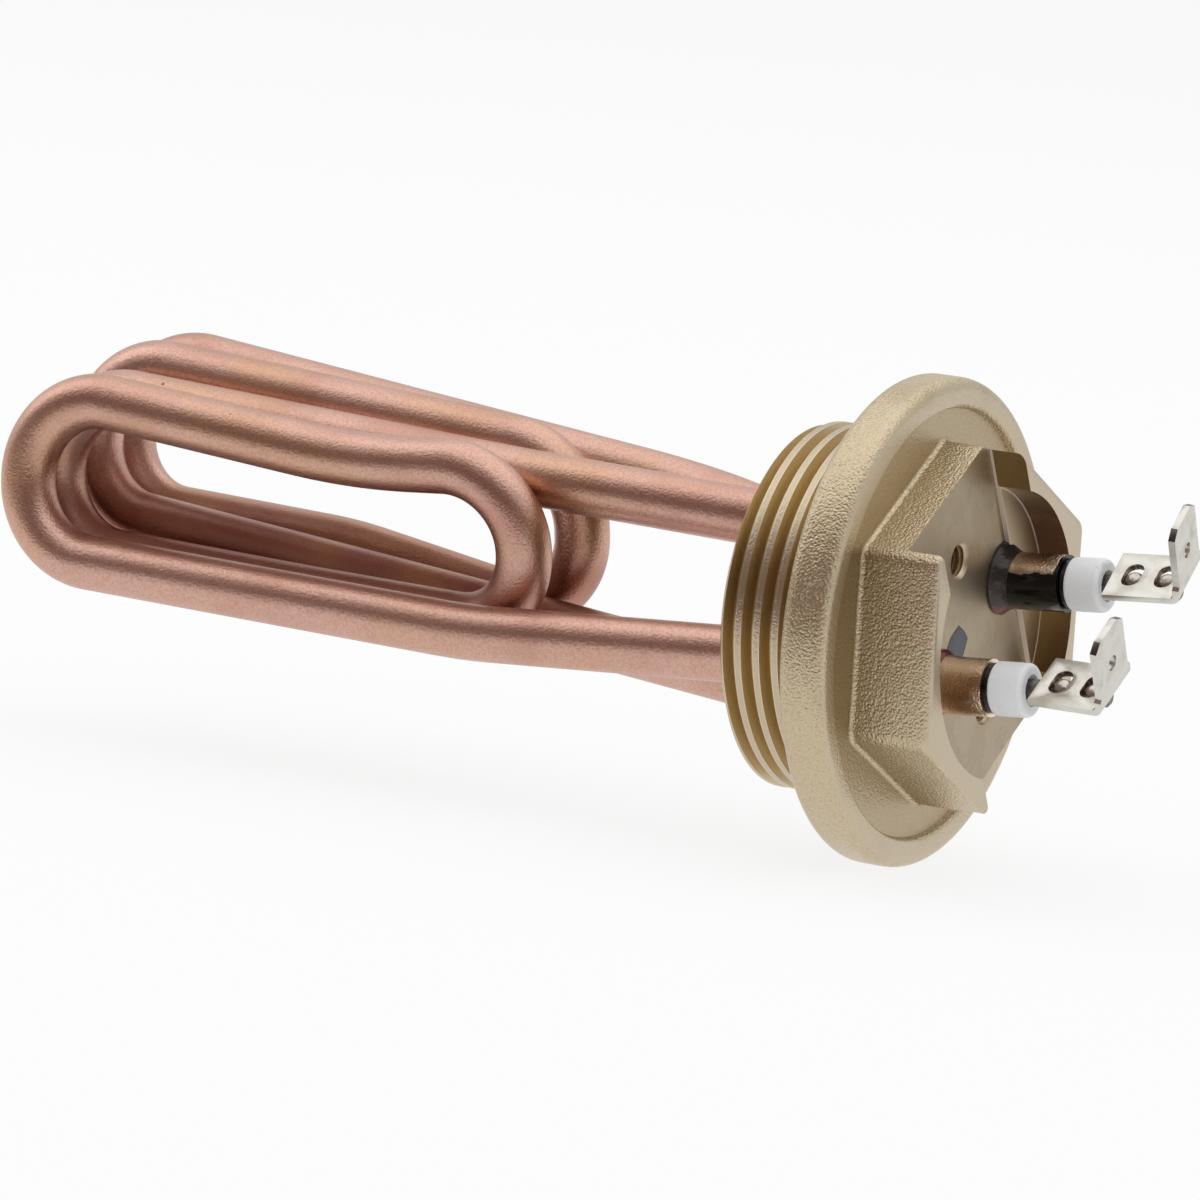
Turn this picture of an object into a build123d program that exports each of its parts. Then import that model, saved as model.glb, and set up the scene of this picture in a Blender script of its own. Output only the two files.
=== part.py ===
from build123d import *
import math
import os

os.makedirs("parts", exist_ok=True)

# Screw-in tubular heating element for a small boiler.
# X runs along the thread axis: terminals toward +X, heating coil toward -X.
# The origin lies on the axis in the sealing face of the flange, +Z is up, unit mm.

# threaded collar, G 1 1/4
thread_major_d = 41.91
thread_pitch = 2.309
thread_depth = 1.479
thread_crest_w = 0.85
thread_root_w = 0.40
collar_end_x = -11.3
thread_lead = 1.2
relief_w = 1.5
relief_d = 38.7
collar_bore_d = 32.0
collar_bore_x = 1.5
seat_inner_d = 42.4
seat_groove = 0.3

# flange rim and hexagon head
rim_d = 55.6
rim_crown_x = 5.7
rim_step_d = 49.2
rim_round = 1.5
face_x = 4.9
hex_flats = 36.4
hex_turn = 3.0
hex_top_x = 14.4
hex_corner_r = 1.9
hex_top_r = 0.8
hex_foot_r = 0.6

# recess between the two jaws of the head
pocket_d = 32.6
ledge_x = 10.6
floor_x = 10.0
slot_w = 20.6
slot_turn = 30.0

# tapped M4 holes in the recess floor
m4_core_d = 3.3
m4_major_d = 4.0
m4_depth = 6.5
m4_upper = (-4.7, 8.1)
m4_lower = (5.1, -9.1)

# heating tube
tube_d = 6.5
tube_bore_d = 5.1
stub_d = 5.9
core_d = 2.6
bend_r = 9.5
lower_y, lower_z = -6.85, -5.4
upper_y, upper_z = 6.85, 5.35
knee_x = 12.6
terminal_rise = 5.0
lower_stub = 3.95
upper_stub = 5.55

# terminal stack, measured along the stub from its end
seal_gap = 0.65
seal_depth = 2.0
seal_d = 5.7
bush_d = 6.1
bush_l = 4.25
bush_neck_d = 3.9
bush_neck_l = 1.9
bush_mouth_d = 3.6
pin_d = 2.6
pin_flat_h = 1.1
pin_inner_x = -3.0
pin_short = 1.6
lower_tab_gap = 1.6
upper_tab_gap = 1.0

# plated 6.3 mm tab: base strip on the pin, tab bent up from it
tab_w = 6.3
strip_w = 7.1
tab_t = 0.8
tab_base_l = 9.4
tab_h = 9.9
tab_shoulder_h = 1.9
tab_lean = 10.0
tab_roll = 37.0
lower_tab_yaw = -6.5
tab_hole_d = 1.8
tab_hole_drop = 4.85
weld_slot_l = 3.6
weld_slot_w = 2.2
weld_at = (2.5, 6.5)
weld_dome_r = 1.2

# brazed joint of the tube in the flange
tube_hole_d = 6.7
lower_braze_d, lower_braze_l = 7.5, 1.2
upper_braze_d, upper_braze_l = 8.4, 2.3

thread_r = thread_major_d / 2
hex_r = hex_flats / 2 / math.cos(math.radians(30))

# the terminal axis rises a little outside the flange
rise = math.radians(terminal_rise)
axis_dir = (math.cos(rise), 0, math.sin(rise))


def along(y, z, distance):
    """Point on a terminal axis, at a distance beyond its knee."""
    return (knee_x + distance * axis_dir[0], y, z + distance * axis_dir[2])


# Centre line of the tube from the lower to the upper terminal: the corner
# points of its straight runs, each with the radius of the bend around it.
route = [
    (knee_x, lower_y, lower_z, 12),
    (-7.0, lower_y, lower_z, 25),
    # front loop
    (-48.5, -11.1, -7.9, 60),
    (-109.6, -11.9, -6.8, bend_r),
    (-109.6, -11.2, 12.9, bend_r),
    (-66.3, -9.3, 9.4, 90),
    (-44.7, -8.5, 11.3, bend_r - 0.2),
    (-44.7, -3.8, -7.9, bend_r - 0.2),
    (-74.0, -4.4, -7.5, 90),
    # second loop
    (-110.5, -3.4, -6.9, bend_r),
    (-110.5, -4.2, 12.6, bend_r),
    (-48.3, -1.3, 9.6, 90),
    # turn inside the hollow of the collar
    (-3.9, -0.5, 8.6, bend_r),
    (-3.9, 1.9, -11.4, bend_r),
    # third loop
    (-56.2, 2.8, -6.9, 60),
    (-110.3, 3.3, -2.5, 9.0),
    (-110.3, 4.1, 15.8, 9.0),
    (-44.7, 5.2, 12.0, bend_r),
    (-44.7, 9.7, -8.1, bend_r),
    # back loop
    (-77.0, 9.8, -3.3, 60),
    (-110.3, 10.2, -2.5, bend_r - 0.3),
    (-110.3, 11.4, 16.8, bend_r - 0.3),
    (-33.0, 12.7, 9.2, 60),
    (-7.0, upper_y, upper_z, 25),
    (knee_x, upper_y, upper_z, 12),
]


def rounded_path(start, corners, end):
    """Straight runs through the corners, joined by tangent arcs."""
    here = Vector(*start)
    points = [Vector(*c[:3]) for c in corners] + [Vector(*end)]
    for i, corner in enumerate(corners):
        at = points[i]
        back = (here - at).normalized()
        ahead = (points[i + 1] - at).normalized()
        half = math.acos(max(-1.0, min(1.0, back.dot(ahead)))) / 2
        reach = corner[3] / math.tan(half)
        first = at + back * reach
        last = at + ahead * reach
        middle = at + (back + ahead).normalized() * (corner[3] / math.sin(half) - corner[3])
        Line(here, first)
        ThreePointArc(first, middle, last)
        here = last
    Line(here, points[-1])


def swept_round(start, corners, end, outer_d, inner_d):
    """Round rod or pipe along the centre line of the tube."""
    with BuildPart() as body:
        with BuildLine() as path:
            rounded_path(start, corners, end)
        with BuildSketch(Plane(origin=path.wire() @ 0, z_dir=path.wire() % 0)):
            Circle(outer_d / 2)
            if inner_d > 0:
                Circle(inner_d / 2, mode=Mode.SUBTRACT)
        sweep(path=path.wire())
    return body


# hexagon head, its long edges and outer top edge softened as cast
with BuildPart() as head:
    with BuildSketch(Plane.YZ.offset(collar_bore_x + 1)):
        RegularPolygon(radius=hex_r, side_count=6, rotation=90 + hex_turn)
    extrude(amount=hex_top_x - collar_bore_x - 1)
    fillet(head.edges().filter_by(Axis.X), hex_corner_r)
    fillet(head.faces().sort_by(Axis.X)[-1].edges(), hex_top_r)

# flange: collar, rim and hexagon head with its recess, one brass piece
with BuildPart() as flange:
    with BuildSketch(Plane.XY) as ring_profile:
        with BuildLine():
            Polyline(
                (collar_end_x, collar_bore_d / 2),
                (collar_end_x, thread_r - thread_depth * 0.9),
                (collar_end_x + 0.9, thread_r),
                (-relief_w - 0.35, thread_r),
                (-relief_w, relief_d / 2),
                (seat_groove, relief_d / 2),
                (seat_groove, seat_inner_d / 2),
                (0, seat_inner_d / 2),
                (0, rim_d / 2),
                (rim_crown_x, rim_d / 2),
                (rim_crown_x, rim_step_d / 2),
                (face_x, rim_step_d / 2 - 0.3),
                (face_x, 0),
                (collar_bore_x, 0),
                (collar_bore_x, collar_bore_d / 2),
                close=True,
            )
        make_face()
        rim_rear = ring_profile.vertices().sort_by_distance((0, rim_d / 2))[0]
        fillet(rim_rear, 1.6)
        rim_front = ring_profile.vertices().sort_by_distance((rim_crown_x, rim_d / 2))[0]
        fillet(rim_front, rim_round)
        rim_inner = ring_profile.vertices().sort_by_distance((rim_crown_x, rim_step_d / 2))[0]
        fillet(rim_inner, 0.35)
    revolve(axis=Axis.X)

    add(head.part)
    foot = flange.edges().filter_by_position(Axis.X, face_x - 0.01, face_x + 0.01)
    foot = foot.filter_by(lambda e: e.center().Y ** 2 + e.center().Z ** 2 < (hex_r + 0.5) ** 2)
    fillet(foot, hex_foot_r)

    # turned pocket, then the slot milled through from face to face
    with BuildSketch(Plane.YZ.offset(ledge_x)):
        Circle(pocket_d / 2)
    extrude(amount=hex_top_x - ledge_x + 1, mode=Mode.SUBTRACT)
    with BuildSketch(Plane.YZ.offset(floor_x)):
        Rectangle(slot_w, 60, rotation=slot_turn)
    extrude(amount=hex_top_x - floor_x + 1, mode=Mode.SUBTRACT)

    # holes for the two tube ends
    with BuildSketch(Plane.YZ.offset(collar_bore_x - 1)):
        with Locations((lower_y, lower_z), (upper_y, upper_z)):
            Circle(tube_hole_d / 2)
    extrude(amount=floor_x - collar_bore_x + 3, mode=Mode.SUBTRACT)

    # tapped holes, blind
    with Locations(Plane.YZ.offset(floor_x)):
        with Locations(m4_upper, m4_lower):
            CounterSinkHole(radius=m4_core_d / 2, counter_sink_radius=m4_major_d / 2 + 0.2,
                            depth=m4_depth)

    # pipe thread groove, running out into the relief
    with BuildLine() as thread_line:
        Helix(
            pitch=thread_pitch,
            height=-1.0 - (collar_end_x - thread_lead),
            radius=thread_r,
            center=(collar_end_x - thread_lead, 0, 0),
            direction=(1, 0, 0),
        )
    groove_start = thread_line.wire() @ 0
    outward = Vector(0, groove_start.Y, groove_start.Z).normalized()
    groove_plane = Plane(origin=groove_start, x_dir=outward, z_dir=thread_line.wire() % 0)
    with BuildSketch(groove_plane):
        half_open = (thread_pitch - thread_crest_w) / 2
        flank = (half_open - thread_root_w / 2) / thread_depth
        with BuildLine():
            Polyline(
                (-thread_depth, -thread_root_w / 2),
                (-thread_depth, thread_root_w / 2),
                (0.25, half_open + 0.25 * flank),
                (0.25, -half_open - 0.25 * flank),
                close=True,
            )
        make_face()
    sweep(path=thread_line.wire(), is_frenet=True, mode=Mode.SUBTRACT)
flange.part.label = "threaded_flange"
export_step(flange.part, "parts/threaded_flange.step")


# heating tube: copper sheath, powder filling and resistance core inside
lower_end = along(lower_y, lower_z, lower_stub)
upper_end = along(upper_y, upper_z, upper_stub)

sheath = swept_round(lower_end, route, upper_end, tube_d, tube_bore_d)
with BuildPart() as tube:
    add(sheath.part)
    for y, z, stub in ((lower_y, lower_z, lower_stub), (upper_y, upper_z, upper_stub)):
        with BuildSketch(Plane(origin=along(y, z, 0.2), z_dir=axis_dir)):
            Circle(tube_d)
            Circle(stub_d / 2, mode=Mode.SUBTRACT)
        extrude(amount=stub + 1, mode=Mode.SUBTRACT)
tube.part.label = "heating_tube"
export_step(tube.part, "parts/heating_tube.step")

filling = swept_round(
    along(lower_y, lower_z, lower_stub - seal_depth),
    route,
    along(upper_y, upper_z, upper_stub - seal_depth),
    tube_bore_d,
    core_d,
)
filling.part.label = "magnesia_filling"
export_step(filling.part, "parts/magnesia_filling.step")

inner_route = route[1:-1]
core = swept_round(
    (pin_inner_x, lower_y, lower_z),
    inner_route,
    (pin_inner_x, upper_y, upper_z),
    core_d,
    0,
)
core.part.label = "resistance_core"
export_step(core.part, "parts/resistance_core.step")


def seat(y, z, distance):
    """Plane across a terminal axis, its x along the width of the tab."""
    roll = math.radians(tab_roll)
    width_dir = (
        -math.sin(roll) * axis_dir[2],
        math.cos(roll),
        math.sin(roll) * axis_dir[0],
    )
    return Plane(origin=along(y, z, distance), x_dir=width_dir, z_dir=axis_dir)


def ring(plane, profile):
    """Solid of revolution about the z axis of a plane, from (radius, height) points."""
    with BuildPart() as body:
        with BuildSketch(Plane(origin=plane.origin, x_dir=plane.x_dir, z_dir=-plane.y_dir)):
            with BuildLine():
                Polyline(*profile, close=True)
            make_face()
        revolve(axis=Axis(plane.origin, plane.z_dir))
    return body


def end_seal(y, z, stub):
    """Black seal: fills the end of the tube and swells out to the bush."""
    neck_start = seal_gap - bush_neck_l
    return ring(seat(y, z, stub), [
        (pin_d / 2, -seal_depth),
        (tube_bore_d / 2, -seal_depth),
        (tube_bore_d / 2, 0),
        (seal_d / 2 - 0.2, 0),
        (seal_d / 2, 0.2),
        (seal_d / 2, seal_gap - 0.15),
        (seal_d / 2 - 0.15, seal_gap),
        (bush_neck_d / 2, seal_gap),
        (bush_neck_d / 2, neck_start),
        (pin_d / 2, neck_start),
    ])


def ceramic_bush(y, z, stub):
    """White bush with a neck in the tube end and a countersunk mouth."""
    body = ring(seat(y, z, stub + seal_gap), [
        (pin_d / 2, -bush_neck_l),
        (bush_neck_d / 2, -bush_neck_l),
        (bush_neck_d / 2, 0),
        (bush_d / 2, 0),
        (bush_d / 2, bush_l),
        (bush_mouth_d / 2, bush_l),
        (pin_d / 2, bush_l - 1.2),
    ])
    with BuildPart() as bush:
        add(body.part)
        rims = bush.edges().filter_by(GeomType.CIRCLE).group_by(SortBy.RADIUS)[-1]
        rims = rims.sort_by(Axis.X)
        fillet(rims[-1], 0.6)
        fillet(rims[0], 0.35)
    return bush


def terminal_pin(y, z, stub, gap):
    """Steel pin from inside the tube out to the tab, flattened under the tab."""
    base = stub + seal_gap + bush_l + gap
    end = along(y, z, base + tab_base_l - pin_short)
    rod = swept_round((pin_inner_x, y, z), [(knee_x, y, z, 12)], end, pin_d, 0)
    with BuildPart() as pin:
        add(rod.part)
        end_rim = pin.edges().filter_by(GeomType.CIRCLE).sort_by(Axis.X)[-1]
        chamfer(end_rim, 0.3)
        with BuildSketch(seat(y, z, base - 0.5)):
            with Locations((0, pin_flat_h + 1)):
                Rectangle(4, 2)
        extrude(amount=tab_base_l, mode=Mode.SUBTRACT)
    return pin


def tab_terminal(y, z, stub, gap, yaw):
    """Plated strip on the flat of the pin, bent up into a 6.3 mm tab."""
    straight = seat(y, z, stub + seal_gap + bush_l + gap)
    turn = math.radians(yaw)
    out_dir = straight.z_dir * math.cos(turn) + straight.x_dir * math.sin(turn)
    width_dir = straight.x_dir * math.cos(turn) - straight.z_dir * math.sin(turn)
    plane = Plane(origin=straight.origin, x_dir=width_dir, z_dir=out_dir)
    up_dir = plane.y_dir
    lean = math.radians(90 - tab_lean)
    back = tab_t * (1 - math.cos(lean)) / math.sin(lean)
    tip = (tab_base_l + tab_h * math.cos(lean), pin_flat_h + tab_h * math.sin(lean))
    with BuildPart() as tab:
        with BuildSketch(Plane(origin=plane.origin, x_dir=out_dir, z_dir=-width_dir)) as side:
            with BuildLine():
                Polyline(
                    (0, pin_flat_h),
                    (tab_base_l, pin_flat_h),
                    tip,
                    (tip[0] - tab_t * math.sin(lean), tip[1] + tab_t * math.cos(lean)),
                    (tab_base_l + back * math.cos(lean) - tab_t * math.sin(lean),
                     pin_flat_h + tab_t),
                    (0, pin_flat_h + tab_t),
                    close=True,
                )
            make_face()
            heel = (tab_base_l, pin_flat_h)
            fillet(side.vertices().sort_by_distance(heel)[0], 1.3)
            inner_heel = (tab_base_l - tab_t, pin_flat_h + tab_t)
            fillet(side.vertices().sort_by_distance(inner_heel)[0], 0.5)
        extrude(amount=strip_w / 2, both=True)

        # outline of the upright: shoulders, then the tab with cut corners
        face_dir = out_dir * math.sin(lean) - up_dir * math.cos(lean)
        foot_point = plane.origin + out_dir * tab_base_l + up_dir * pin_flat_h
        upright = Plane(origin=foot_point, x_dir=width_dir, z_dir=face_dir)
        with BuildSketch(upright):
            with BuildLine():
                right = [
                    (strip_w / 2, -4),
                    (strip_w / 2, tab_shoulder_h),
                    (tab_w / 2, tab_shoulder_h + 0.3),
                    (tab_w / 2, tab_h - 0.9),
                    (tab_w / 2 - 1.2, tab_h),
                ]
                left = [(-a, b) for a, b in reversed(right)]
                Polyline(*right, *left, close=True)
            make_face()
        extrude(amount=14, both=True, mode=Mode.INTERSECT)
        with BuildSketch(upright):
            with Locations((0, tab_h - tab_hole_drop)):
                Circle(tab_hole_d / 2)
        extrude(amount=1.5, both=True, mode=Mode.SUBTRACT)

        # two welds to the pin, each a domed nugget in an oval opening
        weld_plane = Plane(origin=plane.origin + up_dir * pin_flat_h, x_dir=width_dir,
                           z_dir=up_dir)
        with BuildSketch(weld_plane):
            with Locations(*[(0, -s) for s in weld_at]):
                SlotOverall(weld_slot_l, weld_slot_w)
        extrude(amount=tab_t, mode=Mode.SUBTRACT)
        with Locations(weld_plane):
            with Locations(*[(0, -s) for s in weld_at]):
                Sphere(weld_dome_r, arc_size1=20,
                       align=(Align.CENTER, Align.CENTER, Align.MIN))
    return tab


def braze_joint(y, z, foot_d, length):
    """Braze metal round a tube: fillet outside, film in the hole, fillet inside."""
    plane = Plane(origin=(0, y, z), x_dir=(0, 1, 0), z_dir=(1, 0, 0))
    tube_r = tube_d / 2
    hole_r = tube_hole_d / 2
    foot_r = foot_d / 2
    with BuildPart() as joint:
        with BuildSketch(Plane(origin=plane.origin, x_dir=(0, 1, 0), z_dir=-plane.y_dir)):
            with BuildLine():
                Polyline(
                    (foot_r, floor_x),
                    (hole_r, floor_x),
                    (hole_r, collar_bore_x),
                    (hole_r + 0.8, collar_bore_x),
                )
                ThreePointArc(
                    (hole_r + 0.8, collar_bore_x),
                    (tube_r + 0.32, collar_bore_x - 0.45),
                    (tube_r, collar_bore_x - 1.1),
                )
                Line((tube_r, collar_bore_x - 1.1), (tube_r, floor_x + length - 0.3))
                ThreePointArc(
                    (tube_r, floor_x + length - 0.3),
                    (tube_r + 0.35, floor_x + 0.45 * length),
                    (foot_r, floor_x + 0.25),
                )
                Line((foot_r, floor_x + 0.25), (foot_r, floor_x))
            make_face()
        revolve(axis=Axis(plane.origin, (1, 0, 0)))
        add(flange.part, mode=Mode.SUBTRACT)
    return joint


sides = {
    "lower": (lower_y, lower_z, lower_stub, lower_tab_gap, lower_tab_yaw,
              lower_braze_d, lower_braze_l),
    "upper": (upper_y, upper_z, upper_stub, upper_tab_gap, 0,
              upper_braze_d, upper_braze_l),
}
for side_name, (y, z, stub, gap, yaw, foot_d, foot_l) in sides.items():
    seal = end_seal(y, z, stub)
    seal.part.label = "end_seal_" + side_name
    export_step(seal.part, "parts/end_seal_" + side_name + ".step")

    bush = ceramic_bush(y, z, stub)
    bush.part.label = "ceramic_bush_" + side_name
    export_step(bush.part, "parts/ceramic_bush_" + side_name + ".step")

    pin = terminal_pin(y, z, stub, gap)
    pin.part.label = "terminal_pin_" + side_name
    export_step(pin.part, "parts/terminal_pin_" + side_name + ".step")

    tab = tab_terminal(y, z, stub, gap, yaw)
    tab.part.label = "tab_terminal_" + side_name
    export_step(tab.part, "parts/tab_terminal_" + side_name + ".step")

    joint = braze_joint(y, z, foot_d, foot_l)
    joint.part.label = "braze_joint_" + side_name
    export_step(joint.part, "parts/braze_joint_" + side_name + ".step")
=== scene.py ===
import math
from functools import partial

import bmesh
import bpy
from mathutils import Matrix, Vector


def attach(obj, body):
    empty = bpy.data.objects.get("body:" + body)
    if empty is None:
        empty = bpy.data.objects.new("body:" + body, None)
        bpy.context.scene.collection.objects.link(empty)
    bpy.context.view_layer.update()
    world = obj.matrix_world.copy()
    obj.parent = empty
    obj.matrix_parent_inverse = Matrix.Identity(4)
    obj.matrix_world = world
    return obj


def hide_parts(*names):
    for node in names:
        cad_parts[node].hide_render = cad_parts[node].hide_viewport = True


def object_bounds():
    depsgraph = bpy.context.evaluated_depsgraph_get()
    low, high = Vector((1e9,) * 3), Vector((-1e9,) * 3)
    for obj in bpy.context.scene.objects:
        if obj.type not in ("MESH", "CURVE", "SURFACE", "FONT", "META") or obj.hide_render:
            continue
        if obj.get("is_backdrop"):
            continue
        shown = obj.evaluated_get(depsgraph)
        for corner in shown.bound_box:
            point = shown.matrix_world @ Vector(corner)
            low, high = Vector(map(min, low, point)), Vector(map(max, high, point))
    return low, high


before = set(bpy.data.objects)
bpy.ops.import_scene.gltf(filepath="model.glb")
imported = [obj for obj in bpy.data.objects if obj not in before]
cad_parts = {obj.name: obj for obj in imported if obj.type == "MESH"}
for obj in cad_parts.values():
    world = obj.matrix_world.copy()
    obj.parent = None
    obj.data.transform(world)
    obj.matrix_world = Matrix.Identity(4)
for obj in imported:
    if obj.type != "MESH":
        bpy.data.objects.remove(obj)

bl_info = {
    "name": "Boiler Heating Element",
    "version": (1, 0, 0),
    "blender": (4, 5, 0),
    "location": "3D View > Sidebar > Heater",
    "description": "Looks of a screw-in copper heating element for a small boiler",
    "category": "Object",
}

SIDES = ("lower", "upper")

# Kinds of node, and settings that many of them share.
BSDF = "ShaderNodeBsdfPrincipled"
BUMP = "ShaderNodeBump"
CELLS = "ShaderNodeTexVoronoi"
COORDS = "ShaderNodeTexCoord"
JOIN = "ShaderNodeCombineXYZ"
MATH = "ShaderNodeMath"
MIX = "ShaderNodeMix"
NOISE = "ShaderNodeTexNoise"
OUTPUT = "ShaderNodeOutputMaterial"
OWN = "ShaderNodeAttribute"
RANGE = "ShaderNodeMapRange"
SPLIT = "ShaderNodeSeparateXYZ"
VECTOR = "ShaderNodeVectorMath"
RGBA = {"data_type": "RGBA"}
SMOOTH = {"interpolation_type": "SMOOTHSTEP"}
TIMES = {"operation": "MULTIPLY"}
TIMES_PLUS = {"operation": "MULTIPLY_ADD"}
MINUS = {"operation": "SUBTRACT"}
LARGER = {"operation": "MAXIMUM"}
FROM_POINT = {"operation": "DISTANCE"}

# The photograph's camera: angles, offset and distance in mm, focal length in pixels.
CAMERA_AZIMUTH = math.radians(28.834)
CAMERA_ELEVATION = math.radians(7.770)
CAMERA_ROLL = math.radians(4.970)
CAMERA_ASIDE = 32.891
CAMERA_ABOVE = 1.897
CAMERA_DISTANCE = 800
CAMERA_FOCAL_PX = 7114.1
CAMERA_SENSOR = 36
PHOTO_PX = 1200

# The stage, in metres: floor, dark card, light levels, and each lamp's name, place,
# width and watts.
FLOOR_WIDTH = 8
FLOOR_SEEN = 0.85
CARD_WIDTH = 1.3
CARD_FOOT = (-0.09, 0.015)
CARD_TOP = (-0.32, 0.36)
WORLD_STRENGTH = 0.65
WORLD_MIRRORED = 0.4
LAMPS = (
    ("overhead", (0.05, 0.15, 1.0), 1.6, 4.5),
    ("left", (-1.2, -0.2, 0.8), 1.0, 2.6),
)


def linear(hex_colour):
    """sRGB hex colour as linear red, green, blue and alpha."""
    channels = [int(hex_colour[i:i + 2], 16) / 255 for i in (1, 3, 5)]
    bent = [c / 12.92 if c <= 0.04045 else ((c + 0.055) / 1.055) ** 2.4 for c in channels]
    return (*bent, 1.0)


WHITE = linear("#ffffff")


def mm(value):
    """Millimetres, a number or a vector, as metres."""
    return value / 1000


# Sizes and colours that a user would change.

def length(name, description, default_mm):
    """Float property for a length, given in millimetres."""
    return bpy.props.FloatProperty(
        name=name, description=description, default=mm(default_mm), min=0,
        unit="LENGTH", subtype="DISTANCE", precision=5)


def colour(name, description, hex_colour):
    """Colour property with a hex default."""
    return bpy.props.FloatVectorProperty(
        name=name, description=description, default=linear(hex_colour), min=0, max=1,
        size=4, subtype="COLOR")


class HeaterSizes(bpy.types.PropertyGroup):
    """Sizes of the heating element's visible pieces."""

    tube_d: length("Tube", "Outside diameter of the copper tube", 6.5)
    stub_d: length("Stub", "Tube diameter outside the flange, turned down", 5.9)
    bend_r: length("Bend", "Bend radius of the coil's loops", 9.5)
    tube_sides: bpy.props.IntProperty(
        name="Tube sides", description="Faces around the tube", default=56, min=12, max=96)
    m4_core_d: length("M4 core", "Core diameter of the tapped holes", 3.3)
    m4_pitch: length("M4 pitch", "Thread pitch of the tapped holes", 0.7)
    edge_r: length("Tab edge", "Rounding of the punched edges of the tabs", 0.07)
    spot_t: length("Sealant", "Thickness of the sealant spot in the recess", 0.06)


class HeaterColours(bpy.types.PropertyGroup):
    """Colours of the heating element's finishes."""

    copper: colour("Copper", "Pickled copper tube", "#d3ac9d")
    copper_deep: colour("Copper, deep", "Redder patches of the tube", "#b98876")
    copper_gilt: colour("Copper, golden", "Golden patches of the tube", "#cda580")
    # painted shade: darker copper for the lower turns, where they shade each other
    copper_dim: colour("Copper, inner", "Darker skin between the lower turns", "#8a5446")
    # pale: partly heat tint, partly a painted highlight on the stubs
    copper_burnt: colour("Copper, burnt", "Tube beside the brazing", "#f2dcc6")
    copper_charred: colour("Copper, charred", "Dark streaks beside the brazing", "#5a3a2a")
    brass_cast: colour("Brass, cast", "Sand cast skin of the flange", "#ccbc9f")
    brass_hollow: colour("Brass, hollows", "Hollows of the cast grain", "#a08c6a")
    brass_front: colour("Brass, front", "Smoother front faces and crests", "#c1b39d")
    brass_cut: colour("Brass, cut", "Thread flanks", "#cfbc97")
    # also the painted highlight along the thread crests' edges
    brass_edge: colour("Brass, edges", "Fresh edges left by the tool", "#d2bfa2")
    brass_floor: colour("Brass, floor", "Milled floor of the recess", "#b3a58e")
    brass_wall: colour("Brass, wall", "Walls of the recess", "#a08a66")
    brass_tint: colour("Brass, tint", "Heat-tinted wall of the recess", "#4e3429")
    brass_ruddy: colour("Brass, ruddy", "Redder heat tint", "#6c483b")
    braze: colour("Braze", "Dark braze collar", "#3f3a38")
    oxide: colour("Oxide", "Copper oxide on the braze", "#6e3526")
    resin: colour("Resin", "Black sealing resin", "#0c0c0e")
    ceramic: colour("Ceramic", "Unglazed bush", "#f1f2f4")
    steel: colour("Steel", "Terminal pin", "#8f8b84")
    nickel: colour("Nickel", "Plated tab", "#d2cfc7")
    nickel_dull: colour("Nickel, dull", "Duller patches of the plating", "#a39d8f")
    weld: colour("Weld", "Stain in the weld openings", "#6d4f38")
    sealant: colour("Sealant", "Blue-grey spot in the recess", "#5d6069")
    powder: colour("Powder", "Magnesia filling", "#d9d7cf")
    floor: colour("Floor", "Stage floor", "#f6f6f6")


# Small tools for nodes, meshes and finished pieces.

def node(tree, kind, inputs=(), out=0, **settings):
    """Add a node, set its properties, fill or link its inputs, return one output."""
    new = tree.nodes.new(kind)
    for name, value in settings.items():
        setattr(new, name, value)
    for key, value in dict(inputs).items():
        if isinstance(value, bpy.types.NodeSocket):
            tree.links.new(value, new.inputs[key])
        else:
            new.inputs[key].default_value = value
    return new.outputs[out] if new.outputs else None


def new_material(name):
    """Material without nodes, and the function that adds them to it."""
    material = bpy.data.materials.new(name)
    material.use_nodes = True
    material.node_tree.nodes.clear()
    return material, partial(node, material.node_tree)


def ray_kinds(add):
    """Whether a ray is the camera's own, and whether it is mirrored or let through."""
    rays = add("ShaderNodeLightPath").node.outputs
    mirrored = add(MATH, {0: rays["Is Glossy Ray"], 1: rays["Is Transmission Ray"]}, **LARGER)
    return rays["Is Camera Ray"], mirrored


def new_object(name, data):
    """Object in the scene, at the origin."""
    made = bpy.data.objects.new(name, data)
    bpy.context.scene.collection.objects.link(made)
    return made


def new_piece(name, mesh, material, slot_name, *replaced):
    """Scene object for a finished mesh: painted, riding on the part."""
    piece = new_object(name, mesh)
    mesh.materials.clear()
    mesh.materials.append(material)
    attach(piece, "root")
    if replaced:
        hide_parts(*replaced)
    return piece


def paint(node_name, material):
    """Give a carried-over CAD node its finish."""
    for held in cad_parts[node_name].material_slots:
        held.material = material


def merged_copy(node_name):
    """Mesh copy of a CAD node, its loose triangles joined."""
    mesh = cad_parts[node_name].data.copy()
    mesh.name = node_name + "_mesh"
    work = bmesh.new()
    work.from_mesh(mesh)
    bmesh.ops.remove_doubles(work, verts=work.verts, dist=1e-7)
    work.to_mesh(mesh)
    work.free()
    if mesh.has_custom_normals:
        mesh.attributes.remove(mesh.attributes["custom_normal"])
    return mesh


# Shape constants of the part, in millimetres, as the CAD model has them.

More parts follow.
